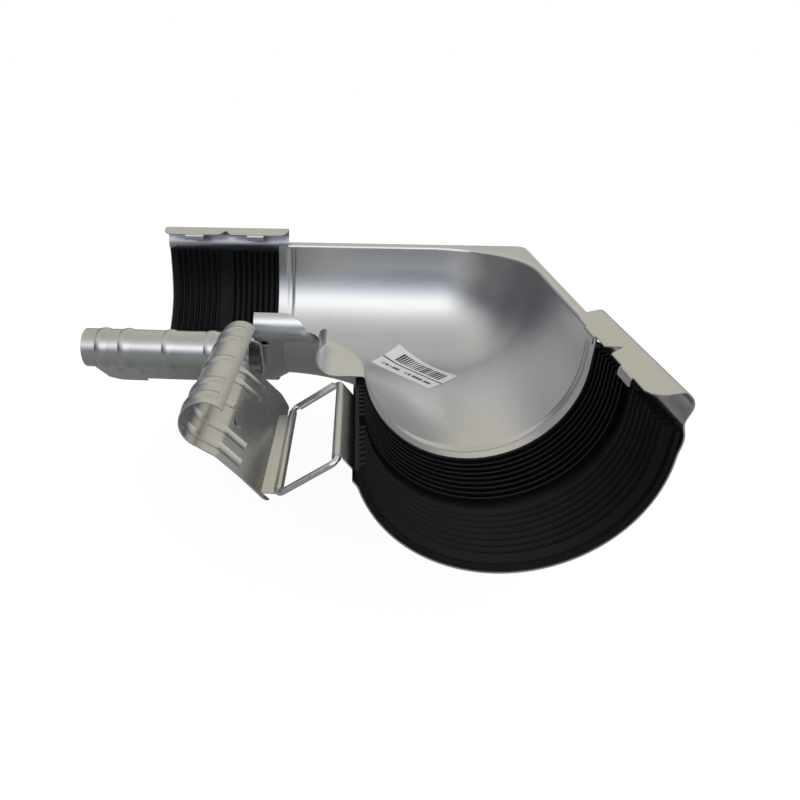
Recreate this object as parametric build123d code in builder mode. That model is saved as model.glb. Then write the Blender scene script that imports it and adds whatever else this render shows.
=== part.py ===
from build123d import *
from math import acos, atan2, cos, degrees, hypot, radians, sin, sqrt, tan
import os

os.makedirs("parts", exist_ok=True)

# Inside corner for a half-round rain gutter: one pressed corner trough with a snap joint
# at the end of each arm. Millimetres.
# The origin is the outer corner of the back flange, on the rim plane, with +Z up.
# Arm A runs along -X and arm B along -Y. A place on an arm is written as (s, u, v): s is the
# distance along the arm from the corner, u the distance out from the back edge, v the height.

# Gutter section
channel_width = 125.0
back_margin = 6.3
straight_wall = 19.0
sheet = 0.65
channel_flat = 0.1
flange_length = 193.5
corner_past_flange = 8.0
flange_corner_radius = 8.0
back_corner_radius = 68.0
front_straight = 10.2
rim_bend = 3.0
rim_overlap = 0.15

# Front bead of the corner
bead_past_wall = 16.7
bead_down = 18.5
bead_radius = 11.2
bead_lip_angle = 60.0
bead_run = 33.5
bead_rise_run = 16.0
bead_corner_radius = 14.0
ledge_bend = 2.6

# Swaged ring near the open end of each arm
ring_before_flange = 2.4
ring_width = 8.4
ring_height = 1.3
ring_turn = 168.0

# Snap joint: band
band_sheet = 0.7
band_length = 102.5
seal_room = 5.6
band_flare_angle = 50.0
band_flare_bend = 8.0
sleeve_away = 7.644
sleeve_angle = -9.904
band_sleeve_low = -35.7
band_sleeve_high = 41.2
band_cut_past_wall = 5.7
band_cut_under_sleeve = 8.8
collar_before_flange = 7.1
collar_length = 10.1
collar_gap = 0.1
collar_front_angle = 12.0
hook_strip_end = 17.0
back_top = (2.6, 11.0)
back_lean = 36.87
back_wall = ((-1.0, -12.5), (-0.5, -7.4), (0.9, -2.5), (-0.7, 4.0))
strip_bend = 3.0
strip_slope = 13.13
strip_clear = 6.0
strip_end_radius = 8.0
notch_width = 9.5
notch_depth = 7.0
tab_drop = 4.2
tab_bend = 1.6
tab_spans = ((-32.5, -17.5), (18.5, 32.0))

# Snap joint: rubber seal
seal_gap = 0.1
seal_base = 2.0
seal_fin_height = 3.1
seal_back_top = 7.0
seal_front_angle = 12.0
seal_near_margin = 3.2
seal_far_margin = 1.2
seal_land = 6.0
fin_count = 8
fin_root = 2.7
fin_tip = 1.3
fin_lean = 1.2
fin_near = 11.4
fin_gap = 12.7
fin_far = 4.4

# Snap joint: wire bail
wire = 3.2
wire_clearance = 0.06
sleeve_opening = 68.0
bail_reach = 34.0
bail_low_arm = -40.2
bail_high_arm = 44.8
bail_corner = 3.4
bail_end_gap = 5.0
wire_side_gap = 0.1

# Snap joint: clip lever
clip_sheet = 0.7
clip_reach = 48.5
hook_inner_radius = 11.6
hook_lip_angle = 92.0
hook_foot_angle = -106.0
plate_drop = 8.2
plate_bend = 7.0
plate_end = (4.4, -7.5)
plate_end_bend = 1.5
clip_low = -64.0
clip_high = 42.6
ear_end = -1.5
ear_low = -57.0
ear_high = 44.5
ear_radius = 5.0
ear_low_run = 7.5
ear_high_run = 19.9
sleeve_relief = (20.0, 6.0)
sleeve_relief_at = -4.6
clip_sleeve_low = -38.1
clip_sleeve_high = 41.2
rib_height = 0.8
rib_width = 9.0
rib_start_angle = 70.0
rib_to_hook = 29.0
middle_rib_to_hook = 15.0
rib_places = (-51.5, -36.5, 18.0, 33.5)
middle_rib_place = -8.5
pad_corners = ((17.5, -29.5), (36.5, -12.5), (32.0, 5.0), (17.5, 8.5))
pad_radius = 4.5
pad_height = 0.6
pad_wall = 0.3
pad_slope = 45.0

# How each open clip stands, as angles across the arm, from outwards (0) to up (90)
bail_turn = {"a": -116.9, "b": -35.7}
clip_turn = {"a": 40.6, "b": 46.2}

# Paper label in the trough
label_size = (62.0, 32.0)
label_at = (-89.0, -72.3)
label_turn = -47.5
label_thickness = 0.3
label_gap = 0.05

# Worked-out sizes
sleeve_wrap = 360 - sleeve_opening
corner_length = flange_length + corner_past_flange
front_corner_radius = corner_length - back_margin - channel_width - front_straight
bead_out = back_margin + channel_width + bead_past_wall
bead_start = corner_length - bead_run
bead_full_start = bead_start + bead_rise_run
ring_centre = flange_length - ring_before_flange
channel_radius = channel_width / 2
axis_out = back_margin + channel_radius
axis_down = straight_wall
channel_depth = straight_wall + channel_radius
outer_radius = channel_radius + sheet
band_inner = outer_radius + seal_room
band_mid = band_inner + band_sheet / 2
sleeve_out = axis_out + (band_mid + sleeve_away) * cos(radians(sleeve_angle))
sleeve_down = axis_down - (band_mid + sleeve_away) * sin(radians(sleeve_angle))
band_front_cut = back_margin + channel_width + band_cut_past_wall
band_front_low = sleeve_down + band_cut_under_sleeve
collar_start = flange_length - collar_before_flange
collar_end = collar_start + collar_length
collar_radius = outer_radius + collar_gap + band_sheet / 2
band_centre = flange_length + band_length / 2
band_end = flange_length + band_length
fin_span = (band_length - fin_near - fin_gap - fin_far) / 2
fin_pitch = (fin_span - fin_root) / (fin_count - 1)
fin_group_starts = (flange_length + fin_near, flange_length + fin_near + fin_span + fin_gap)
wire_radius = wire / 2
sleeve_inner = wire_radius + wire_clearance
ledge_down = bead_down + bead_radius
bead_end = bead_out + bead_radius
lip_top = bead_down - bead_radius * sin(radians(bead_lip_angle))
seal_outer = band_inner - seal_gap
band_sleeve_radius = sleeve_inner + band_sheet / 2
clip_sleeve_radius = sleeve_inner + clip_sheet / 2
hook_radius = hook_inner_radius + clip_sheet / 2
cut_margin = 1.0
quarter_turn = 90

ARMS = ("a", "b")
DIAGONAL = Plane(origin=(0, 0, 0), x_dir=(1, 1, 0), z_dir=(1, -1, 0))


def place(arm, s, u, v):
    """A point of the part from its place on an arm."""
    return Vector(-s, -u, v) if arm == "a" else Vector(-u, -s, v)


def plan(arm, s, u):
    """The same in plan, for sketches on level planes."""
    return (-s, -u) if arm == "a" else (-u, -s)


def section_plane(arm, s_low, s_high, u=0.0, v=0.0, turn=0.0):
    """A plane across an arm: extruding a sketch on it by s_high - s_low fills that stretch.

    Its local X points outwards to the front and its local Y up, before the turn.
    """
    out, up = cos(radians(turn)), sin(radians(turn))
    if arm == "a":
        return Plane(origin=(-s_low, -u, v), x_dir=(0, -out, up), z_dir=(-1, 0, 0))
    return Plane(origin=(-u, -s_high, v), x_dir=(-out, 0, up), z_dir=(0, 1, 0))


def joint_span(arm, low, high):
    """Stretch along the arm of two places given from the middle of the joint.

    Both joints are the same part, so the one on arm A is turned end for end.
    """
    if arm == "a":
        return band_centre - high, band_centre - low
    return band_centre + low, band_centre + high


def across_plane(arm, u, v, turn):
    """A plane through a wire's line: local X points out along the turn, local Y along the joint."""
    out, up = cos(radians(turn)), sin(radians(turn))
    x_dir = Vector(0, -out, up) if arm == "a" else Vector(-out, 0, up)
    along = Vector(1, 0, 0) if arm == "a" else Vector(0, -1, 0)
    return Plane(origin=place(arm, band_centre, u, v), x_dir=x_dir, z_dir=x_dir.cross(along))


def arm_axis(arm):
    """The middle line of an arm's half-round channel; a turn about it goes from the back down and round."""
    return Axis(place(arm, 0, axis_out, -axis_down), (-1, 0, 0) if arm == "a" else (0, 1, 0))


def arm_box(arm, s_range, u_range, v_range):
    """A block given by its stretches along, out and up."""
    (s0, s1), (u0, u1), (v0, v1) = s_range, u_range, v_range
    with BuildPart() as block:
        with BuildSketch(Plane.XY.offset(v0)):
            with BuildLine():
                Polyline(
                    plan(arm, s0, u0),
                    plan(arm, s1, u0),
                    plan(arm, s1, u1),
                    plan(arm, s0, u1),
                    close=True,
                )
            make_face()
        extrude(amount=v1 - v0)
    return block.part


def channel_block(grow, end, top):
    """The space in the trough as a solid, grown by an amount, from its bottom to a height."""
    back = -(back_margin - grow)
    front = -(back_margin + channel_width + grow)
    with BuildPart() as block:
        with BuildSketch(Plane.XY.offset(-channel_depth - grow)) as outline:
            with BuildLine():
                Polyline(
                    (-end, back),
                    (back, back),
                    (back, -end),
                    (front, -end),
                    (front, front),
                    (-end, front),
                    close=True,
                )
            make_face()
            fillet(outline.vertices().sort_by_distance((back, back))[0], back_corner_radius + grow)
            fillet(outline.vertices().sort_by_distance((front, front))[0], front_corner_radius - grow)
        extrude(amount=channel_depth + grow + top)
        low_edges = block.edges().group_by(Axis.Z)[0]
        long_edges = low_edges.filter_by(lambda e: min(e.center().X, e.center().Y) > -end + 1)
        fillet(long_edges, channel_radius + grow - channel_flat / 2)
    return block.part


def ledge_block(grow, end, top):
    """The space in the front bead and its ledge as a solid, grown by an amount."""
    out = -(bead_end - sheet + grow)
    inside = -(axis_out + channel_radius / 2)
    down = ledge_down - sheet + grow
    with BuildPart() as block:
        with BuildSketch(Plane.XY.offset(-down)) as outline:
            with BuildLine():
                Polyline(
                    (-end, out),
                    (out, out),
                    (out, -end),
                    (inside, -end),
                    (inside, inside),
                    (-end, inside),
                    close=True,
                )
            make_face()
            fillet(outline.vertices().sort_by_distance((out, out))[0], bead_corner_radius - grow)
        extrude(amount=down + top)
        low_edges = block.edges().group_by(Axis.Z)[0]
        long_edges = low_edges.filter_by(lambda e: min(e.center().X, e.center().Y) > -end + 1)
        outer_edges = long_edges.filter_by(lambda e: max(e.center().X, e.center().Y) < (out + inside) / 2)
        fillet(outer_edges, bead_radius - sheet + grow - channel_flat / 2)
    return block.part


def ring_block(radius):
    """Swaged ring of arm A as a solid that bulges from a radius, round the trough and up its back."""
    low = ring_centre - ring_width / 2
    high = ring_centre + ring_width / 2
    root = radius - sheet / 2
    with BuildPart() as block:
        with BuildSketch(Plane.XY.offset(-axis_down)) as profile:
            with BuildLine():
                rise = (low + ring_centre) / 2
                fall = (ring_centre + high) / 2
                foot, half_way = axis_out - radius, axis_out - radius - ring_height / 2
                crest = axis_out - radius - ring_height
                TangentArc(plan("a", low, foot), plan("a", rise, half_way), tangent=(-1, 0))
                ThreePointArc(plan("a", rise, half_way), plan("a", ring_centre, crest), plan("a", fall, half_way))
                TangentArc(plan("a", high, foot), plan("a", fall, half_way), tangent=(1, 0))
                Polyline(
                    plan("a", high, axis_out - radius),
                    plan("a", high, axis_out - root),
                    plan("a", low, axis_out - root),
                    plan("a", low, axis_out - radius),
                )
            make_face()
        extrude(amount=axis_down - rim_bend - cut_margin)
        revolve(profile.sketch, arm_axis("a"), revolution_arc=ring_turn)
    return block.part


def rim_line():
    """Plan line of the back wall's inner face, as far as the flange goes."""
    turn = back_margin + back_corner_radius
    Line((-flange_length, -back_margin), (-turn, -back_margin))
    RadiusArc((-turn, -back_margin), (-back_margin, -turn), back_corner_radius)
    Line((-back_margin, -turn), (-back_margin, -flange_length))


def rim_corner(radius, side, mode):
    """The metal between a bend of the rim and its square corner, added or cut along the rim.

    The bend's middle lies behind and under the corner; side is how far the corner is from it.
    """
    with BuildLine() as run:
        rim_line()
    across = Plane(origin=(-flange_length, -back_margin, 0), x_dir=(0, -1, 0), z_dir=(-1, 0, 0))
    with BuildSketch(across) as profile:
        with BuildLine():
            Line((-rim_bend, -rim_bend + radius), (-rim_bend, -rim_bend + side))
            Line((-rim_bend, -rim_bend + side), (-rim_bend + side, -rim_bend + side))
            Line((-rim_bend + side, -rim_bend + side), (-rim_bend + side, -rim_bend))
            Line((-rim_bend + side, -rim_bend), (-rim_bend + radius, -rim_bend))
            CenterArc((-rim_bend, -rim_bend), radius, 0, 90)
        make_face()
    sweep(sections=profile.sketch, path=run.line, mode=mode)


def on_front_wall(height, radius):
    """A test for the edges at a height that follow the front wall at a distance from its corner's middle."""
    middle = -(back_margin + channel_width + front_corner_radius)

    def test(edge):
        centre = edge @ 0.5
        if abs(centre.Z - height) > 0.02:
            return False
        along, across = max(middle - centre.X, 0), max(middle - centre.Y, 0)
        near = hypot(centre.X - middle, centre.Y - middle)
        if along or across:
            near = (centre.Y if along else centre.X) - middle
        return abs(near - radius) < 0.1

    return test


# Corner trough
with BuildPart() as corner_trough:
    add(channel_block(sheet, corner_length, 0))
    add(ledge_block(sheet, corner_length, -bead_down))
    with BuildSketch(Plane.XY.offset(-sheet)) as flange:
        with BuildLine():
            Polyline(
                (-flange_length, 0),
                (0, 0),
                (0, -flange_length),
                (-axis_out / 2, -flange_length),
                (-axis_out / 2, -axis_out / 2),
                (-flange_length, -axis_out / 2),
                close=True,
            )
        make_face()
        fillet(flange.vertices().sort_by_distance((0, 0))[0], flange_corner_radius)
    extrude(amount=sheet)
    add(channel_block(0, corner_length + cut_margin, cut_margin), mode=Mode.SUBTRACT)
    add(ledge_block(0, corner_length + cut_margin, cut_margin), mode=Mode.SUBTRACT)
    rim_corner(rim_bend - sheet, rim_bend - sheet + rim_overlap, Mode.ADD)
    rim_corner(rim_bend, rim_bend + cut_margin, Mode.SUBTRACT)
    for grow, bend in ((0, ledge_bend), (sheet, ledge_bend - sheet)):
        down = ledge_down - sheet + grow
        wall = axis_out + sqrt((channel_radius + grow) ** 2 - (down - axis_down) ** 2)
        radius = back_margin + channel_width + front_corner_radius - wall
        fillet(corner_trough.edges().filter_by(on_front_wall(-down, radius)), bend)
    rings = ring_block(outer_radius)
    add(rings)
    add(mirror(rings, about=DIAGONAL, mode=Mode.PRIVATE))
    grooves = ring_block(channel_radius)
    add(grooves, mode=Mode.SUBTRACT)
    add(mirror(grooves, about=DIAGONAL, mode=Mode.PRIVATE), mode=Mode.SUBTRACT)
    with BuildPart(mode=Mode.PRIVATE) as lip:
        with BuildSketch(section_plane("a", bead_start, corner_length, bead_out, -bead_down)):
            with BuildLine():
                CenterArc((0, 0), bead_radius, -0.5, bead_lip_angle + 0.5)
                CenterArc((0, 0), bead_radius - sheet, -0.5, bead_lip_angle + 0.5)
                for turn in (-0.5, bead_lip_angle):
                    across, up = cos(radians(turn)), sin(radians(turn))
                    inner = bead_radius - sheet
                    Line((inner * across, inner * up), (bead_radius * across, bead_radius * up))
            make_face()
        extrude(amount=corner_length - bead_start)
        with BuildSketch(Plane.XZ.offset(axis_out)):
            with BuildLine():
                EllipticalCenterArc(
                    (-bead_full_start, -bead_down - 1),
                    bead_full_start - bead_start,
                    bead_down + 1 - lip_top,
                    start_angle=0,
                    arc_size=quarter_turn,
                )
                Polyline(
                    (-bead_full_start, -lip_top),
                    (-corner_length - 1, -lip_top),
                    (-corner_length - 1, -bead_down - 1),
                    (-bead_start, -bead_down - 1),
                )
            make_face()
        extrude(amount=bead_end, mode=Mode.INTERSECT)
    add(lip.part)
    add(mirror(lip.part, about=DIAGONAL, mode=Mode.PRIVATE))
corner_trough.part.label = "corner_trough"
export_step(corner_trough.part, "parts/corner_trough.step")


def strip_start():
    """Place where the top strip of the band leaves its bend."""
    lean, slope = radians(back_lean), radians(strip_slope)
    return (
        back_top[0] + strip_bend * (sin(lean) + sin(slope)),
        back_top[1] + strip_bend * (cos(slope) - cos(lean)),
    )


def strip_point(u):
    """A place on the middle line of the top strip."""
    start = strip_start()
    return u, start[1] - (u - start[0]) * tan(radians(strip_slope))


def band_lines():
    """Middle line of the band's sheet across the arm, from its top strip round to the front sleeve."""
    turn = radians(band_flare_angle)
    along, right = (cos(turn), sin(turn)), (sin(turn), -cos(turn))
    flare_end = (sleeve_out - right[0] * band_sleeve_radius, -sleeve_down - right[1] * band_sleeve_radius)
    # The bend's middle lies beside the flare's line and outside the band's circle
    side = (flare_end[0] + right[0] * band_flare_bend, flare_end[1] + right[1] * band_flare_bend)
    side_out, side_up = side[0] - axis_out, side[1] + axis_down
    half = side_out * along[0] + side_up * along[1]
    back = half - sqrt(half**2 - side_out**2 - side_up**2 + (band_mid + band_flare_bend) ** 2)
    bend_centre = (side[0] - along[0] * back, side[1] - along[1] * back)
    leave_turn = degrees(atan2(bend_centre[1] + axis_down, bend_centre[0] - axis_out))
    bend_end = (bend_centre[0] - right[0] * band_flare_bend, bend_centre[1] - right[1] * band_flare_bend)
    Line(strip_point(hook_strip_end), strip_start())
    lean = (cos(radians(back_lean)), sin(radians(back_lean)))
    JernArc(back_top, lean, strip_bend, -back_lean - strip_slope)
    Spline(
        (axis_out - band_mid, -axis_down),
        *back_wall,
        back_top,
        tangents=[(0, 1), lean],
    )
    CenterArc((axis_out, -axis_down), band_mid, 180, 180 + leave_turn)
    CenterArc(bend_centre, band_flare_bend, 180 + leave_turn, band_flare_angle - quarter_turn - leave_turn)
    Line(bend_end, flare_end)
    CenterArc((sleeve_out, -sleeve_down), band_sleeve_radius, quarter_turn + band_flare_angle, -sleeve_wrap)


# Snap joint bands
for arm in ARMS:
    with BuildPart() as joint_band:
        with BuildSketch(section_plane(arm, flange_length, band_end)):
            with BuildLine():
                band_lines()
            trace(line_width=band_sheet)
        extrude(amount=band_length)
        for low, high in ((-band_length / 2 - 1, band_sleeve_low), (band_sleeve_high, band_length / 2 + 1)):
            add(
                arm_box(arm, joint_span(arm, low, high), (band_front_cut, bead_end), (-band_front_low, 0)),
                mode=Mode.SUBTRACT,
            )
        frame_in, frame_out = hook_strip_end / 2, hook_strip_end + 2
        with BuildSketch(Plane.XY.offset(strip_clear)):
            with BuildLine():
                Polyline(
                    plan(arm, flange_length - 1, frame_in),
                    plan(arm, band_end + 1, frame_in),
                    plan(arm, band_end + 1, frame_out),
                    plan(arm, flange_length - 1, frame_out),
                    close=True,
                )
            make_face()
            with BuildLine() as strip:
                Polyline(
                    plan(arm, flange_length, frame_in - 1),
                    plan(arm, flange_length, hook_strip_end),
                    plan(arm, band_centre - notch_width / 2, hook_strip_end),
                    plan(arm, band_centre, hook_strip_end - notch_depth),
                    plan(arm, band_centre + notch_width / 2, hook_strip_end),
                    plan(arm, band_end, hook_strip_end),
                    plan(arm, band_end, frame_in - 1),
                    close=True,
                )
                for s in (flange_length, band_end):
                    corner = plan(arm, s, hook_strip_end)
                    fillet(strip.vertices().sort_by_distance(corner)[0], strip_end_radius)
            make_face(mode=Mode.SUBTRACT)
        extrude(amount=strip_clear * 2, mode=Mode.SUBTRACT)
        for low, high in tab_spans:
            low, high = joint_span(arm, low, high)
            with BuildSketch(section_plane(arm, low, high)):
                with BuildLine():
                    slope = radians(strip_slope)
                    bend_start = strip_point(hook_strip_end - 0.3)
                    Line(strip_point(hook_strip_end - 2), bend_start)
                    down = strip_slope - quarter_turn
                    bend = JernArc(bend_start, (cos(slope), -sin(slope)), tab_bend, down)
                    Line(bend @ 1, (bend @ 1) - Vector(0, tab_drop - tab_bend))
                trace(line_width=band_sheet)
            extrude(amount=high - low)
        with BuildSketch(Plane.XY.offset(-axis_down)) as collar:
            with BuildLine():
                small, large = axis_out - collar_radius, axis_out - band_mid
                Line(plan(arm, collar_start, small), plan(arm, collar_end, large))
            trace(line_width=band_sheet)
        extrude(amount=axis_down - seal_back_top)
        revolve(collar.sketch, arm_axis(arm), revolution_arc=180 - collar_front_angle)
    joint_band.part.label = f"joint_band_{arm}"
    export_step(joint_band.part, f"parts/joint_band_{arm}.step")

# Rubber seals, fins towards the gutter
for arm in ARMS:
    low, high = flange_length + seal_near_margin, band_end - seal_far_margin
    land = low + seal_land
    with BuildPart() as seal:
        with BuildSketch(Plane.XY.offset(-axis_down)) as comb:
            with BuildLine():
                edge = [(low, seal_outer), (low, outer_radius + seal_gap), (land, outer_radius + seal_gap)]
                edge.append((land, seal_outer - seal_base))
                for start, lean in zip(fin_group_starts, (fin_lean, -fin_lean)):
                    for number in range(fin_count):
                        root = start + number * fin_pitch
                        tip = root + (fin_root - fin_tip) / 2 + lean
                        inner = seal_outer - seal_base - seal_fin_height
                        edge.append((root, seal_outer - seal_base))
                        edge.append((tip, inner))
                        edge.append((tip + fin_tip, inner))
                        edge.append((root + fin_root, seal_outer - seal_base))
                edge.append((high, seal_outer - seal_base))
                edge.append((high, seal_outer))
                Polyline(*[plan(arm, s, axis_out - radius) for s, radius in edge], close=True)
            make_face()
        extrude(amount=axis_down - seal_back_top)
        revolve(comb.sketch, arm_axis(arm), revolution_arc=180 - seal_front_angle)
    seal.part.label = f"seal_{arm}"
    export_step(seal.part, f"parts/seal_{arm}.step")

# Wire bails
for arm in ARMS:
    side_by_side = bail_low_arm - wire - wire_side_gap
    with BuildPart() as bail:
        with BuildLine(across_plane(arm, sleeve_out, -sleeve_down, bail_turn[arm])) as run:
            FilletPolyline(
                (bail_end_gap, side_by_side),
                (bail_reach, side_by_side),
                (bail_reach, bail_high_arm),
                (0, bail_high_arm),
                (0, bail_low_arm),
                (bail_reach - bail_end_gap, bail_low_arm),
                radius=bail_corner,
            )
        with BuildSketch(Plane(origin=run.line @ 0, z_dir=run.line % 0)):
            Circle(wire_radius)
        sweep()
    bail.part.label = f"bail_{arm}"
    export_step(bail.part, f"parts/bail_{arm}.step")


def plate_turn():
    """Angle of the plate across the clip, seen from its sleeve towards the hook."""
    foot_angle = radians(hook_foot_angle)
    foot = (clip_reach + hook_radius * cos(foot_angle), hook_radius * sin(foot_angle))
    corner = foot[0] - (plate_drop + foot[1]) / tan(radians(hook_foot_angle + 270))
    return degrees(atan2(-plate_drop - plate_end[1], corner - plate_end[0]))


def clip_lines(start_angle, end):
    """Middle line of the clip's hook and plate, from an angle of the hook to a place on the plate."""
    foot_angle = radians(hook_foot_angle)
    foot = (clip_reach + hook_radius * cos(foot_angle), hook_radius * sin(foot_angle))
    foot_run = hook_foot_angle + 270
    plate_run = plate_turn() + 180
    corner = (foot[0] - (plate_drop + foot[1]) / tan(radians(foot_run)), -plate_drop)
    away = plate_bend / cos(radians(plate_run - foot_run) / 2)
    middle = radians((foot_run + plate_run) / 2 + 90)
    centre = (corner[0] + away * cos(middle), corner[1] + away * sin(middle))
    first, last = radians(foot_run - 90), radians(plate_run - 90)
    bend_start = (centre[0] + plate_bend * cos(first), centre[1] + plate_bend * sin(first))
    bend_end = (centre[0] + plate_bend * cos(last), centre[1] + plate_bend * sin(last))
    CenterArc((clip_reach, 0), hook_radius, start_angle, hook_foot_angle - start_angle)
    Line(foot, bend_start)
    CenterArc(centre, plate_bend, foot_run - 90, plate_run - foot_run)
    Line(bend_end, (end, bend_end[1] + (end - bend_end[0]) * tan(radians(plate_run))))


def clip_rib(plane, end, low, high, mode):
    """A rounded rib along the clip's middle line, with its bow between two heights over that line."""
    with BuildLine(plane) as run:
        clip_lines(rib_start_angle, end)
    tangent = run.line % 0
    out = (run.line @ 0) - plane.from_local_coords((clip_reach, 0))
    with BuildSketch(Plane(origin=run.line @ 0, x_dir=out.cross(tangent), z_dir=tangent)) as profile:
        with BuildLine():
            ThreePointArc((-rib_width / 2, low), (0, high), (rib_width / 2, low))
            Line((rib_width / 2, low), (-rib_width / 2, low))
        make_face()
    sweep(sections=profile.sketch, path=run.line, mode=mode)


# Clip levers
for arm in ARMS:
    turn = radians(bail_turn[arm])
    pivot = (sleeve_out + bail_reach * cos(turn), bail_reach * sin(turn) - sleeve_down)
    low, high = joint_span(arm, clip_low, ear_high)
    face_plane = across_plane(arm, *pivot, clip_turn[arm])
    with BuildPart() as clip:
        with BuildSketch(section_plane(arm, low, high, *pivot, clip_turn[arm])):
            with BuildLine():
                clip_lines(hook_lip_angle, ear_end)
            trace(line_width=clip_sheet)
        extrude(amount=high - low)
        ribs = [(place_along, clip_reach - rib_to_hook) for place_along in rib_places]
        ribs.append((middle_rib_place, clip_reach - middle_rib_to_hook))
        for place_along, end in ribs:
            span = joint_span(arm, place_along, place_along)
            rib_plane = section_plane(arm, *span, *pivot, clip_turn[arm])
            clip_rib(rib_plane, end, 0, clip_sheet / 2 + rib_height, Mode.ADD)
            clip_rib(rib_plane, end, -clip_sheet, rib_height - clip_sheet / 2, Mode.SUBTRACT)
        plate_plane = across_plane(arm, *pivot, clip_turn[arm])
        plate_plane.origin = plate_plane.from_local_coords((plate_end[0], 0, plate_end[1]))
        plate_plane = plate_plane.rotated((0, -plate_turn(), 0))
        for height, depth, inset, mode in (
            (-clip_sheet / 4, pad_height + clip_sheet / 4, 0, Mode.ADD),
            (clip_sheet / 2, pad_height, -pad_wall, Mode.SUBTRACT),
        ):
            with BuildSketch(plate_plane.offset(height)) as pad:
                with BuildLine():
                    Polyline(*[(clip_reach - x - plate_end[0], y) for x, y in pad_corners], close=True)
                make_face()
                fillet(pad.vertices(), pad_radius)
                if inset:
                    add(offset(pad.sketch, amount=inset, mode=Mode.PRIVATE), mode=Mode.REPLACE)
            extrude(amount=-depth, taper=pad_slope, mode=mode)
        with BuildSketch(face_plane) as plate:
            with BuildLine():
                Polyline(
                    (ear_end, ear_low),
                    (ear_end + ear_low_run, clip_low),
                    (clip_reach + hook_inner_radius * 1.3, clip_low),
                    (clip_reach + hook_inner_radius * 1.3, clip_high),
                    (ear_end + ear_high_run, clip_high),
                    (ear_end, ear_high),
                    close=True,
                )
            make_face()
            for corner in ((ear_end, ear_low), (ear_end, ear_high), (ear_end + ear_low_run, clip_low)):
                fillet(plate.vertices().sort_by_distance(corner)[0], ear_radius)
        extrude(amount=30, both=True, mode=Mode.INTERSECT)
        sleeve = joint_span(arm, clip_sleeve_low, clip_sleeve_high)
        with BuildSketch(section_plane(arm, *sleeve, *pivot, clip_turn[arm])):
            with Locations((sleeve_relief_at, plate_end[1])):
                Rectangle(*sleeve_relief)
        extrude(amount=sleeve[1] - sleeve[0], mode=Mode.SUBTRACT)
        with BuildSketch(section_plane(arm, *sleeve, *pivot, clip_turn[arm])):
            with BuildLine():
                away = hypot(*plate_end)
                touch = atan2(plate_end[1], plate_end[0]) - acos(clip_sleeve_radius / away)
                FilletPolyline(
                    (plate_end[0] + 4, plate_end[1] + 4 * tan(radians(plate_turn()))),
                    plate_end,
                    (clip_sleeve_radius * cos(touch), clip_sleeve_radius * sin(touch)),
                    radius=plate_end_bend,
                )
                CenterArc((0, 0), clip_sleeve_radius, degrees(touch), -sleeve_wrap)
            trace(line_width=clip_sheet)
        extrude(amount=sleeve[1] - sleeve[0])
    clip.part.label = f"clip_{arm}"
    export_step(clip.part, f"parts/clip_{arm}.step")

# Paper label, lying on the inner face of the trough
with BuildPart() as label:
    with BuildSketch(Plane.XY.offset(-channel_depth - 1)):
        with Locations(Location((*label_at, 0), (0, 0, label_turn))):
            Rectangle(*label_size)
    extrude(amount=channel_depth)
    add(channel_block(-label_gap, corner_length, 0), mode=Mode.INTERSECT)
    above = channel_block(-label_gap - label_thickness, corner_length + cut_margin, cut_margin)
    add(above, mode=Mode.SUBTRACT)
label.part.label = "label"
export_step(label.part, "parts/label.step")
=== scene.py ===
"""Gutter inside corner with two snap joints: finishes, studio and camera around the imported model."""
import math

import bpy
from mathutils import Matrix, Vector


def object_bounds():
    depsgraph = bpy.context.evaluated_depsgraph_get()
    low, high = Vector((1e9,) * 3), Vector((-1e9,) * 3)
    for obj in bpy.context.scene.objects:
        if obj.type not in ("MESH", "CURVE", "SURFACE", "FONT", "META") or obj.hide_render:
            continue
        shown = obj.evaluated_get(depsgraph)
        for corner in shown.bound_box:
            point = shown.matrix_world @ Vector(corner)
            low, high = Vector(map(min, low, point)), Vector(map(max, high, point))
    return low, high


bl_info = {
    "name": "Gutter inside corner",
    "version": (1, 0, 0),
    "blender": (4, 5, 0),
    "location": "View3D > Sidebar > Gutter",
    "description": "Galvanised sheet, rubber, wire and paper finishes for a half-round gutter corner",
    "category": "Object",
}

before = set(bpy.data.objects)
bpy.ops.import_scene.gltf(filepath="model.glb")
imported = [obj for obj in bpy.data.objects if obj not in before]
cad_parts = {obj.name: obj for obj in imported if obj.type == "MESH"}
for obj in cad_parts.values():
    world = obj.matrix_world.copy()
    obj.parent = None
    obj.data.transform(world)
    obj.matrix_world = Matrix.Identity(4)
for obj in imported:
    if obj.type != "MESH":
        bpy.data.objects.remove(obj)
CAD_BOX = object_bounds()
MM = 0.001
ARMS = "ab"
PHOTO_SIDE = 800
SMOOTH_ANGLE = math.radians(32)
EDGE_ROUND = 0.25 * MM
EDGE_SAMPLES = 4
WHITE = (1.0, 1.0, 1.0, 1.0)

# Patterns over a surface, each as scale, detail, roughness and distortion
ZINC_CLOUD = (16.0, 3.0, 0.6, 0.0)
ZINC_SMUDGE = (75.0, 4.0, 0.65, 0.6)
ZINC_GRAIN = (1100.0, 2.0, 0.6, 0.0)
RUBBER_BLOOM = (35.0, 3.0, 0.6, 0.0)
RUBBER_SKIN = (1400.0, 2.0, 0.5, 0.0)
RUBBER_SPECKS = (480.0, 1.0, 0.4, 0.0)
WIRE_MARKS = (260.0, 3.0, 0.6, 0.0)
PAPER_GRAIN = (700.0, 2.0, 0.6, 0.0)

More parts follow.
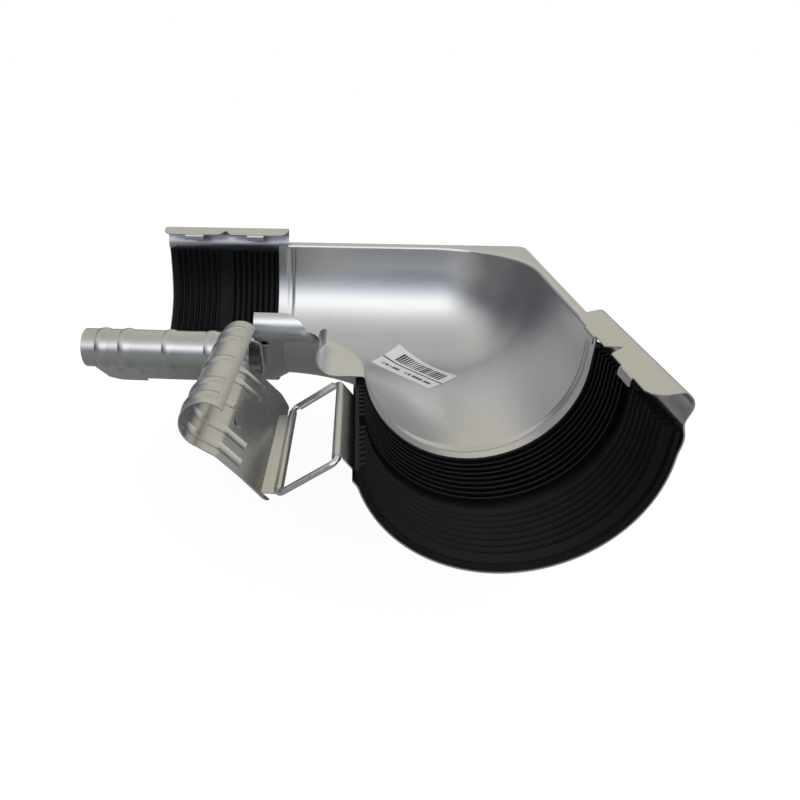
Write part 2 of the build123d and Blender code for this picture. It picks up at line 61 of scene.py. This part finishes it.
# The label's place in the trough, and its bars as sizes along and across it from its middle
LABEL_CENTRE = (-89.0 * MM, -72.3 * MM)
LABEL_TURN = math.radians(-47.5)
BAR_PITCH = 2.6 * MM
BAR_LEAST_SHARE = 0.4
BAR_SHARE_SPREAD = 0.4
BAR_BLOCK_CENTRE = (2.5 * MM, 6.3 * MM)
BAR_BLOCK_HALF = (23.5 * MM, 5.8 * MM)
RULE_PLACE = -2.6 * MM
RULE_HALF = 0.7 * MM
DASH_PITCH = 1.5 * MM
DASH_GAP_SHARE = 0.35
DASH_ROW_CENTRE = (0.0, -9.5 * MM)
DASH_ROW_HALF = (26.0 * MM, 1.5 * MM)
DASH_INK = 0.9


class Maths:
    """A shader value that writes Python arithmetic as Math nodes."""

    def __init__(self, tree, socket):
        self.tree = tree
        self.socket = socket

    def _join(self, operation, *values, clamp=False):
        node = self.tree.nodes.new("ShaderNodeMath")
        node.operation = operation
        node.use_clamp = clamp
        for place, value in zip(node.inputs, values):
            if isinstance(value, Maths):
                self.tree.links.new(value.socket, place)
            else:
                place.default_value = value
        return Maths(self.tree, node.outputs[0])

    def __add__(self, other):
        return self._join("ADD", self, other)

    def __sub__(self, other):
        return self._join("SUBTRACT", self, other)

    def __mul__(self, other):
        return self._join("MULTIPLY", self, other)

    def __truediv__(self, other):
        return self._join("DIVIDE", self, other)

    def __radd__(self, other):
        return self._join("ADD", other, self)

    def __rsub__(self, other):
        return self._join("SUBTRACT", other, self)

    def __rmul__(self, other):
        return self._join("MULTIPLY", other, self)

    def __rtruediv__(self, other):
        return self._join("DIVIDE", other, self)

    def __gt__(self, other):
        return self._join("GREATER_THAN", self, other)

    def __lt__(self, other):
        return self._join("LESS_THAN", self, other)

    def floor(self):
        return self._join("FLOOR", self)

    def size(self):
        return self._join("ABSOLUTE", self)

    def clamped(self):
        return self._join("ADD", self, 0.0, clamp=True)

    def most(self, other):
        return self._join("MAXIMUM", self, other)

    def centred(self):
        """A pattern from 0 to 1, moved to vary about 0."""
        return self - 0.5

    def within(self, half, centre=0.0):
        """1 where the value lies less than half from the centre, else 0."""
        return (self - centre).size() < half


class Finish:
    """A node tree with short calls for its nodes, its maths and its mixes."""

    def __init__(self, owner):
        self.tree = owner.node_tree
        self.tree.nodes.clear()

    def node(self, kind, settings=None, **sockets):
        """Adds a node, sets its settings first, then the values or links of its sockets."""
        made = self.tree.nodes.new(kind)
        for name, value in (settings or {}).items():
            if name == "stops":
                self.set_stops(made.color_ramp.elements, value)
            else:
                setattr(made, name, value)
        for name, value in sockets.items():
            place = self.socket(made, name)
            if isinstance(value, Maths):
                self.tree.links.new(value.socket, place)
            elif isinstance(value, bpy.types.NodeSocket):
                self.tree.links.new(value, place)
            else:
                place.default_value = value
        return made

    @staticmethod
    def set_stops(elements, stops):
        """Gives a colour ramp its places and colours."""
        while len(elements) > 1:
            elements.remove(elements[-1])
        first_place, first_colour = stops[0]
        elements[0].position = first_place
        elements[0].color = (*first_colour, 1.0)
        for place, colour in stops[1:]:
            elements.new(place).color = (*colour, 1.0)

    @staticmethod
    def socket(made, name):
        """The enabled input whose name or number matches; words are joined by underscores."""
        if name.startswith("_") and name[1:].isdigit():
            return made.inputs[int(name[1:])]
        wanted = name.replace("_", " ").lower()
        return next(s for s in made.inputs if s.enabled and s.name.lower() == wanted)

    def value(self, socket):
        return Maths(self.tree, socket)

    def noise(self, where, scale, detail, roughness, distortion):
        made = self.node(
            "ShaderNodeTexNoise",
            Vector=where,
            Scale=scale,
            Detail=detail,
            Roughness=roughness,
            Distortion=distortion,
        )
        return self.value(made.outputs["Fac"])

    def draw(self, step):
        """One random value from 0 to 1 for each whole step."""
        made = self.node("ShaderNodeTexWhiteNoise", {"noise_dimensions": "1D"}, W=step)
        return self.value(made.outputs["Value"])

    def mix(self, factor, first, second):
        """A colour between two colours."""
        made = self.node("ShaderNodeMix", {"data_type": "RGBA"}, Factor=factor, A=first, B=second)
        return next(s for s in made.outputs if s.enabled)

    def ramp(self, stops, factor):
        return self.node("ShaderNodeValToRGB", {"stops": stops}, Fac=factor).outputs["Color"]

    def place(self):
        """Object coordinates, which are the frame's, in metres."""
        return self.node("ShaderNodeTexCoord").outputs["Object"]

    def parts(self, vector):
        return self.node("ShaderNodeSeparateXYZ", Vector=vector).outputs

    def bump(self, height, distance, strength, normal=None):
        sockets = {"Height": height, "Distance": distance, "Strength": strength}
        if normal is not None:
            sockets["Normal"] = normal
        return self.node("ShaderNodeBump", **sockets).outputs["Normal"]

    def rounded(self, radius):
        """A normal that rounds the piece's sharp edges."""
        return self.node("ShaderNodeBevel", {"samples": EDGE_SAMPLES}, Radius=radius).outputs["Normal"]

    def glossy(self):
        """1 on rays that a mirror-like surface sends out."""
        return self.value(self.node("ShaderNodeLightPath").outputs["Is Glossy Ray"])

    def watched(self):
        """1 on rays straight from the camera, also through a transparent surface."""
        path = self.node("ShaderNodeLightPath").outputs
        return self.value(path["Is Camera Ray"]).most(self.value(path["Is Transmission Ray"]))

    def surface(self, shader):
        self.node("ShaderNodeOutputMaterial", Surface=shader)

    def principled(self, **sockets):
        self.surface(self.node("ShaderNodeBsdfPrincipled", **sockets).outputs["BSDF"])


def new_material(name):
    material = bpy.data.materials.new(name)
    material.use_nodes = True
    return material, Finish(material)


def coloured(rgb, factor=1.0):
    """A colour with its alpha, made lighter or darker."""
    return (*(min(1.0, part * factor) for part in rgb[:3]), 1.0)


def galvanised_sheet(name, colour, roughness, wear):
    """Zinc-coated sheet: satin, faintly mottled, with duller smudges and rounded cut edges."""
    darkest = 0.86
    lightest = 1.10
    smudge_tone = 0.7
    grain_tone = 0.04
    smudge_roughness = 0.16
    grain_roughness = 0.02
    smudge_height = 2.0
    grain_height = 0.3
    bump_distance = 0.01 * MM
    bump_strength = 0.5
    material, finish = new_material(name)
    where = finish.place()
    cloud = finish.noise(where, *ZINC_CLOUD).centred()
    grain = finish.noise(where, *ZINC_GRAIN)
    smudge = finish.noise(where, *ZINC_SMUDGE).centred()
    tone = cloud * wear + smudge * (smudge_tone * wear) + grain.centred() * grain_tone + 0.5
    rough = roughness + smudge * smudge_roughness * wear + grain.centred() * grain_roughness
    height = grain * grain_height + smudge * smudge_height * wear
    finish.principled(
        Base_Color=finish.mix(tone.clamped(), coloured(colour, darkest), coloured(colour, lightest)),
        Metallic=1.0,
        Roughness=rough.clamped(),
        Normal=finish.bump(height, bump_distance, bump_strength, finish.rounded(EDGE_ROUND)),
    )
    return material


def black_rubber(name, colour, roughness):
    """Moulded black rubber with a faint bloom and small specks of dust."""
    darkest = 0.7
    lightest = 2.4
    bloom_tone = 0.6
    speck_threshold = 0.79
    speck_tone = 0.5
    bloom_roughness = 0.18
    sheen = 0.2
    bump_distance = 0.02 * MM
    bump_strength = 0.6
    material, finish = new_material(name)
    where = finish.place()
    bloom = finish.noise(where, *RUBBER_BLOOM)
    skin = finish.noise(where, *RUBBER_SKIN)
    specks = (finish.noise(where, *RUBBER_SPECKS) > speck_threshold) * speck_tone
    tone = (bloom * bloom_tone + specks).clamped()
    finish.principled(
        Base_Color=finish.mix(tone, coloured(colour, darkest), coloured(colour, lightest)),
        Roughness=(roughness + bloom.centred() * bloom_roughness).clamped(),
        Specular_IOR_Level=sheen,
        Normal=finish.bump(skin, bump_distance, bump_strength, finish.rounded(EDGE_ROUND)),
    )
    return material


def bright_wire(name, colour, roughness):
    """Galvanised wire: smoother than the sheet, with short duller marks."""
    darkest = 0.8
    lightest = 1.12
    mark_roughness = 0.2
    bump_distance = 0.02 * MM
    bump_strength = 0.5
    material, finish = new_material(name)
    marks = finish.noise(finish.place(), *WIRE_MARKS)
    finish.principled(
        Base_Color=finish.mix(marks, coloured(colour, darkest), coloured(colour, lightest)),
        Metallic=1.0,
        Roughness=(roughness + marks.centred() * mark_roughness).clamped(),
        Normal=finish.bump(marks, bump_distance, bump_strength),
    )
    return material


def label_paper(name, colour, ink):
    """Paper label with a block of plain bars, a rule and a row of plain dashes."""
    darkest = 0.93
    lightest = 1.04
    roughness = 0.5
    bump_distance = 0.01 * MM
    bump_strength = 0.4
    material, finish = new_material(name)
    where = finish.place()
    turned = finish.node(
        "ShaderNodeVectorRotate",
        {"rotation_type": "Z_AXIS"},
        Vector=where,
        Center=(*LABEL_CENTRE, 0.0),
        Angle=-LABEL_TURN,
    ).outputs["Vector"]
    parts = finish.parts(turned)
    along = finish.value(parts["X"]) - LABEL_CENTRE[0]
    across = finish.value(parts["Y"]) - LABEL_CENTRE[1]

    cell = along / BAR_PITCH
    step = cell.floor()
    bar_share = finish.draw(step) * BAR_SHARE_SPREAD + BAR_LEAST_SHARE
    bars = (cell - step < bar_share) * along.within(BAR_BLOCK_HALF[0], BAR_BLOCK_CENTRE[0])
    bars = bars * across.within(BAR_BLOCK_HALF[1], BAR_BLOCK_CENTRE[1])
    rule = across.within(RULE_HALF, RULE_PLACE)
    dashes = finish.draw((along / DASH_PITCH).floor()) > DASH_GAP_SHARE
    dashes = dashes * along.within(DASH_ROW_HALF[0], DASH_ROW_CENTRE[0])
    dashes = dashes * across.within(DASH_ROW_HALF[1], DASH_ROW_CENTRE[1])

    grain = finish.noise(where, *PAPER_GRAIN)
    paper = finish.mix(grain, coloured(colour, darkest), coloured(colour, lightest))
    inked = bars.most(rule).most(dashes * DASH_INK).clamped()
    finish.principled(
        Base_Color=finish.mix(inked, paper, coloured(ink)),
        Roughness=roughness,
        Normal=finish.bump(grain, bump_distance, bump_strength),
    )
    return material


def dress(name, material):
    """Gives a CAD node its finish and shades its curved faces smooth."""
    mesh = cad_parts[name].data
    mesh.materials.clear()
    mesh.materials.append(material)
    mesh.shade_smooth()
    mesh.set_sharp_from_angle(angle=SMOOTH_ANGLE)


def dress_pair(stem, material):
    """Dresses the same piece of both joints."""
    for arm in ARMS:
        dress(f"{stem}_{arm}", material)


def colour_property(name, description, default):
    return bpy.props.FloatVectorProperty(
        name=name, description=description, default=default, size=3, min=0.0, max=1.0, subtype="COLOR"
    )


def share_property(name, description, default):
    return bpy.props.FloatProperty(
        name=name, description=description, default=default, min=0.0, max=1.0, subtype="FACTOR"
    )


class GutterFinishes(bpy.types.PropertyGroup):
    """Colours and surface qualities of the corner's materials."""

    trough_colour: colour_property("Trough", "Zinc colour of the trough's sheet", (0.605, 0.612, 0.617))
    band_colour: colour_property("Bands", "Zinc colour of the joint bands", (0.545, 0.55, 0.55))
    clip_colour: colour_property("Clips", "Zinc colour of the clip levers", (0.525, 0.53, 0.52))
    wire_colour: colour_property("Wire", "Colour of the bails' wire", (0.70, 0.70, 0.71))
    rubber_colour: colour_property("Rubber", "Colour of the finned seals", (0.003, 0.003, 0.0045))
    paper_colour: colour_property("Paper", "Colour of the label", (0.82, 0.82, 0.81))
    ink_colour: colour_property("Ink", "Colour of the label's bars", (0.012, 0.012, 0.015))
    sheet_roughness: share_property("Sheet roughness", "How satin the sheet is", 0.33)
    wire_roughness: share_property("Wire roughness", "How satin the wire is", 0.24)
    rubber_roughness: share_property("Rubber roughness", "How matt the seals are", 0.58)
    wear: share_property("Wear", "How uneven the zinc has become", 0.5)


class GutterStudio(bpy.types.PropertyGroup):
    """Camera and light of the photograph."""

    camera_place: bpy.props.FloatVectorProperty(
        name="Camera",
        description="Where the camera stands",
        default=(-0.14110, -0.53896, 0.12613),
        size=3,
        subtype="TRANSLATION",
        unit="LENGTH",
    )
    camera_yaw: bpy.props.FloatProperty(
        name="Yaw",
        description="Turn of the view from +Y towards +X",
        default=math.radians(-4.4227),
        subtype="ANGLE",
    )
    camera_pitch: bpy.props.FloatProperty(
        name="Pitch",
        description="How far the view looks down",
        default=math.radians(28.118),
        subtype="ANGLE",
    )
    focal_pixels: bpy.props.FloatProperty(
        name="Focal length", description="Focal length in pixels of the photograph", default=638.69
    )
    middle_pixel: bpy.props.FloatVectorProperty(
        name="Middle",
        description="Pixel that the view's axis passes through",
        default=(301.85, 413.30),
        size=2,
    )
    key_power: bpy.props.FloatProperty(
        name="Key light", description="Power of the soft light behind the camera", default=3.0, unit="POWER"
    )


class GutterOperator:
    """What all the corner's operators share."""

    bl_options = {"REGISTER", "UNDO"}

    @property
    def finishes(self):
        return bpy.context.scene.gutter_finishes

    @property
    def studio(self):
        return bpy.context.scene.gutter_studio


class GUTTER_OT_trough(GutterOperator, bpy.types.Operator):
    """Finish the corner trough"""

    bl_idname = "gutter.trough"
    bl_label = "Corner trough"

    def execute(self, context):
        look = self.finishes
        zinc = galvanised_sheet("trough_zinc", look.trough_colour, look.sheet_roughness, look.wear)
        dress("corner_trough", zinc)
        return {"FINISHED"}


class GUTTER_OT_bands(GutterOperator, bpy.types.Operator):
    """Finish the joint bands"""

    bl_idname = "gutter.bands"
    bl_label = "Joint bands"

    def execute(self, context):
        look = self.finishes
        zinc = galvanised_sheet("band_zinc", look.band_colour, look.sheet_roughness, look.wear)
        dress_pair("joint_band", zinc)
        return {"FINISHED"}


class GUTTER_OT_seals(GutterOperator, bpy.types.Operator):
    """Finish the rubber seals"""

    bl_idname = "gutter.seals"
    bl_label = "Rubber seals"

    def execute(self, context):
        look = self.finishes
        dress_pair("seal", black_rubber("seal_rubber", look.rubber_colour, look.rubber_roughness))
        return {"FINISHED"}


class GUTTER_OT_bails(GutterOperator, bpy.types.Operator):
    """Finish the wire bails"""

    bl_idname = "gutter.bails"
    bl_label = "Wire bails"

    def execute(self, context):
        look = self.finishes
        dress_pair("bail", bright_wire("bail_wire", look.wire_colour, look.wire_roughness))
        return {"FINISHED"}


class GUTTER_OT_clips(GutterOperator, bpy.types.Operator):
    """Finish the clip levers"""

    bl_idname = "gutter.clips"
    bl_label = "Clip levers"

    # The clips are a little shinier and more worn than the other sheet
    smoother = 0.05
    more_worn = 1.1

    def execute(self, context):
        look = self.finishes
        roughness = look.sheet_roughness - self.smoother
        zinc = galvanised_sheet("clip_zinc", look.clip_colour, roughness, look.wear * self.more_worn)
        dress_pair("clip", zinc)
        return {"FINISHED"}


class GUTTER_OT_label(GutterOperator, bpy.types.Operator):
    """Finish the paper label"""

    bl_idname = "gutter.label"
    bl_label = "Paper label"

    def execute(self, context):
        look = self.finishes
        dress("label", label_paper("label_paper", look.paper_colour, look.ink_colour))
        return {"FINISHED"}


class GUTTER_OT_stage(GutterOperator, bpy.types.Operator):
    """Build the floor, the light and the camera"""

    bl_idname = "gutter.stage"
    bl_label = "Stage"

    # The floor lies clear of the clips at every pose, in metres under the resting part
    floor_side = 6.0
    floor_drop = 0.055
    # Its card is near white to the camera and grey to the part, with a share of plain white over it
    card_watched = (0.9, 0.9, 0.9, 1.0)
    card_hidden = (0.34, 0.357, 0.36, 1.0)
    white_strength = 1.08
    white_watched = 0.86
    white_glossy = 0.05

    # Colours of the room by height, from straight down (0) over level (0.5) to straight up (1)
    window_side = (
        (0.0, (0.12, 0.13, 0.14)),
        (0.44, (0.16, 0.195, 0.25)),
        (0.52, (0.29, 0.35, 0.47)),
        (0.59, (0.57, 0.63, 0.82)),
        (0.69, (1.25, 1.27, 1.32)),
        (0.75, (1.72, 1.73, 1.76)),
        (0.82, (1.45, 1.45, 1.43)),
        (0.91, (0.92, 0.92, 0.91)),
        (1.0, (0.62, 0.62, 0.61)),
    )
    far_side = (
        (0.0, (0.08, 0.08, 0.09)),
        (0.42, (0.11, 0.11, 0.13)),
        (0.52, (0.24, 0.26, 0.31)),
        (0.60, (0.50, 0.50, 0.49)),
        (0.72, (0.87, 0.815, 0.69)),
        (0.85, (0.80, 0.755, 0.66)),
        (1.0, (0.62, 0.62, 0.61)),
    )
    # The window side lies towards -Y, and the room is dim towards -X up to near the ceiling
    window_slope = -0.9
    dim_colour = (0.12, 0.125, 0.15, 1.0)
    dim_slope = -2.0
    dim_start = 0.5
    dim_top = 0.92
    dim_fade = 4.0

    key_size = (2.4, 0.9)
    key_aim = (-0.12, -0.10, -0.04)
    key_rise = math.radians(36)
    key_aside = 0.08
    key_distance = 2.2

    sensor_width = 36.0
    nearest = 0.01
    farthest = 20.0

    def execute(self, context):
        context.scene.view_settings.view_transform = "Standard"
        self.add_floor(context)
        self.add_world(context)
        self.add_key(context)
        self.add_camera(context)
        return {"FINISHED"}

    def add_floor(self, context):
        mesh = bpy.data.meshes.new("floor")
        half = self.floor_side / 2
        height = CAD_BOX[0][2] - self.floor_drop
        corners = [(-half, -half, height), (half, -half, height), (half, half, height), (-half, half, height)]
        mesh.from_pydata(corners, [], [(0, 1, 2, 3)])
        floor = bpy.data.objects.new("floor", mesh)
        context.scene.collection.objects.link(floor)
        material, finish = new_material("floor_white")
        watched = finish.watched()
        white_share = watched * self.white_watched + finish.glossy() * self.white_glossy
        card_colour = finish.mix(watched, self.card_hidden, self.card_watched)
        card = finish.node("ShaderNodeBsdfDiffuse", Color=card_colour).outputs[0]
        white = finish.node("ShaderNodeEmission", Color=WHITE, Strength=self.white_strength).outputs[0]
        both = finish.node("ShaderNodeMixShader", _0=white_share.clamped(), _1=card, _2=white)
        finish.surface(both.outputs[0])
        mesh.materials.append(material)

    def add_world(self, context):
        world = bpy.data.worlds.new("studio")
        world.use_nodes = True
        context.scene.world = world
        finish = Finish(world)
        parts = finish.parts(finish.node("ShaderNodeTexCoord").outputs["Generated"])
        height = finish.value(parts["Z"]) * 0.5 + 0.5
        behind_camera = (finish.value(parts["Y"]) * self.window_slope + 0.5).clamped()
        window_side = finish.ramp(self.window_side, height)
        far_side = finish.ramp(self.far_side, height)
        room = finish.mix(behind_camera, far_side, window_side)
        leftwards = (finish.value(parts["X"]) * self.dim_slope - self.dim_start).clamped()
        below_ceiling = ((self.dim_top - height) * self.dim_fade).clamped()
        room = finish.mix(leftwards * below_ceiling, room, self.dim_colour)
        shown = finish.mix(finish.watched(), room, WHITE)
        back = finish.node("ShaderNodeBackground", Color=shown, Strength=1.0).outputs[0]
        finish.node("ShaderNodeOutputWorld", Surface=back)

    def add_key(self, context):
        light = bpy.data.lights.new("key", "AREA")
        light.shape = "RECTANGLE"
        light.size = self.key_size[0]
        light.size_y = self.key_size[1]
        light.energy = self.studio.key_power
        key = bpy.data.objects.new("key", light)
        away = Vector((self.key_aside, -math.cos(self.key_rise), math.sin(self.key_rise))) * self.key_distance
        key.location = Vector(self.key_aim) + away
        key.rotation_mode = "QUATERNION"
        key.rotation_quaternion = (-away).to_track_quat("-Z", "Y")
        context.scene.collection.objects.link(key)

    def add_camera(self, context):
        studio = self.studio
        camera = bpy.data.objects.new("photo_camera", bpy.data.cameras.new("photo_camera"))
        lens = camera.data
        lens.sensor_width = self.sensor_width
        lens.lens = studio.focal_pixels / PHOTO_SIDE * self.sensor_width
        lens.shift_x = 0.5 - studio.middle_pixel[0] / PHOTO_SIDE
        lens.shift_y = studio.middle_pixel[1] / PHOTO_SIDE - 0.5
        lens.clip_start = self.nearest
        lens.clip_end = self.farthest
        yaw = Matrix.Rotation(-studio.camera_yaw, 4, "Z")
        pitch = Matrix.Rotation(math.pi / 2 - studio.camera_pitch, 4, "X")
        camera.matrix_world = Matrix.Translation(studio.camera_place) @ yaw @ pitch
        context.scene.collection.objects.link(camera)
        context.scene.camera = camera


PIECE_OPERATORS = (
    GUTTER_OT_trough,
    GUTTER_OT_bands,
    GUTTER_OT_seals,
    GUTTER_OT_bails,
    GUTTER_OT_clips,
    GUTTER_OT_label,
    GUTTER_OT_stage,
)


class GUTTER_PT_sidebar(bpy.types.Panel):
    """Lists the corner's finishes and the operators that build it"""

    bl_label = "Gutter corner"
    bl_idname = "GUTTER_PT_sidebar"
    bl_space_type = "VIEW_3D"
    bl_region_type = "UI"
    bl_category = "Gutter"

    def draw(self, context):
        for group in (context.scene.gutter_finishes, context.scene.gutter_studio):
            for name in group.__annotations__:
                self.layout.prop(group, name)
        for operator in PIECE_OPERATORS:
            self.layout.operator(operator.bl_idname)


CLASSES = (GutterFinishes, GutterStudio, *PIECE_OPERATORS, GUTTER_PT_sidebar)


def register():
    for cls in CLASSES:
        bpy.utils.register_class(cls)
    bpy.types.Scene.gutter_finishes = bpy.props.PointerProperty(type=GutterFinishes)
    bpy.types.Scene.gutter_studio = bpy.props.PointerProperty(type=GutterStudio)


def unregister():
    del bpy.types.Scene.gutter_studio
    del bpy.types.Scene.gutter_finishes
    for cls in reversed(CLASSES):
        bpy.utils.unregister_class(cls)


def main():
    register()
    for operator in PIECE_OPERATORS:
        group, name = operator.bl_idname.split(".")
        getattr(getattr(bpy.ops, group), name)()


if __name__ == "__main__":
    main()
